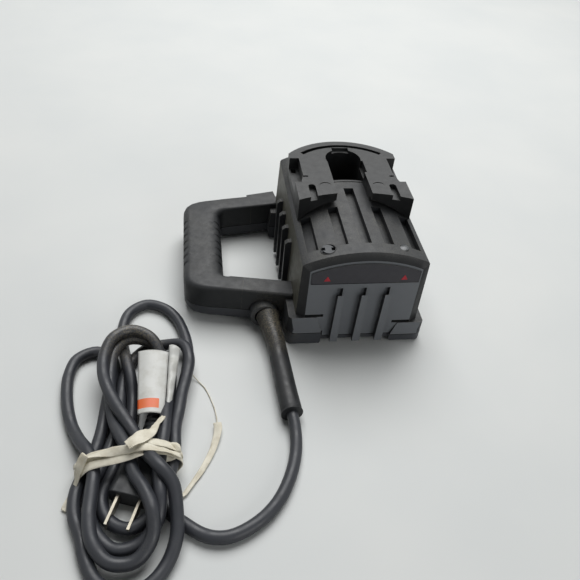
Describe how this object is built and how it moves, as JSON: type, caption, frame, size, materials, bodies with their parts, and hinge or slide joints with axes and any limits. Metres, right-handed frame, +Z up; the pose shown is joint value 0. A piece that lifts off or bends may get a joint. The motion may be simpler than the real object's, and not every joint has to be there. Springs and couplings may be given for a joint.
{
  "type": "power tool battery charger",
  "caption": "Mains charger with an arched grooved housing, docking top with a socket, side carrying handle, reset button and a tied mains lead.",
  "frame": {"origin": "middle of the footprint of the charger and its handle, without the lead, at the height of the table", "axes": "+X to the right as seen from the front panel, +Y to the back, +Z up"},
  "size_m": [0.25, 0.323, 0.09],
  "materials": {
    "housing_abs": "moulded charcoal ABS, fine spark texture, slightly dusty",
    "dock_abs": "moulded grey ABS, a little smoother and lighter than the housing",
    "terminal_nylon": "black glass-filled nylon",
    "button_plastic": "satin moulded plastic",
    "lens_plastic": "smoked polycarbonate lens",
    "led_epoxy": "clear epoxy lamp body",
    "label_film": "bare near-black film label with two plain red marks",
    "cord_pvc": "soft black PVC jacket, matte, scuffed",
    "plug_pvc": "moulded black PVC",
    "nickel": "nickel-plated brass blades and screws",
    "brass": "bare brass",
    "silicon_steel": "varnished transformer laminations",
    "bobbin_nylon": "natural nylon",
    "enamelled_copper": "enamelled copper winding under tape",
    "zinc_steel": "zinc-plated steel",
    "board_fr2": "varnished circuit board",
    "epoxy_black": "black moulded epoxy",
    "aluminium": "extruded aluminium",
    "cap_sleeve": "shrink sleeve",
    "relay_case": "moulded relay case",
    "wire_pvc": "wire insulation",
    "tie_paper": "cream paper and plastic twist tie",
    "tag_paper": "coated paper flag, bare, with a plain orange band"
  },
  "bodies": {
    "housing": {"top_housing": "housing_abs", "base_housing": "housing_abs", "handle_upper": "housing_abs", "handle_lower": "housing_abs", "battery_dock": "dock_abs", "terminal_block": "terminal_nylon", "terminal_contacts": "brass", "reset_spring": "zinc_steel", "overload_breaker": "epoxy_black", "indicator_lens": "lens_plastic", "indicator_led": "led_epoxy", "label_plate": "label_film", "strain_relief": "cord_pvc", "gland_boot": "cord_pvc", "cord_lead": "cord_pvc", "cord_hank": "cord_pvc", "plug_body": "plug_pvc", "plug_blades": "nickel", "cord_tie": "tie_paper", "cord_tag": "tag_paper", "transformer_core": "silicon_steel", "transformer_bobbin": "bobbin_nylon", "transformer_winding": "enamelled_copper", "transformer_bracket": "zinc_steel", "transformer_screws": "zinc_steel", "circuit_board": "board_fr2", "bridge_rectifier": "epoxy_black", "heat_sink": "aluminium", "smoothing_capacitor": "cap_sleeve", "output_relay": "relay_case", "board_screws": "zinc_steel", "fuse_link": "nickel", "fuse_clips": "brass", "cord_clamp": "terminal_nylon", "cord_clamp_screws": "zinc_steel", "mains_wires": "wire_pvc", "output_wires": "wire_pvc", "housing_screws": "zinc_steel", "dock_screws": "zinc_steel"},
    "button": {"reset_button": "button_plastic"}
  },
  "joints": [
    {"name": "reset_press", "type": "slide", "parent": "housing", "child": "button", "axis": [0, 0, -1], "range_m": [0, 0.002], "stiffness_N_per_m": 300, "springref_m": -0.003, "deforming": ["reset_spring"]}
  ]
}
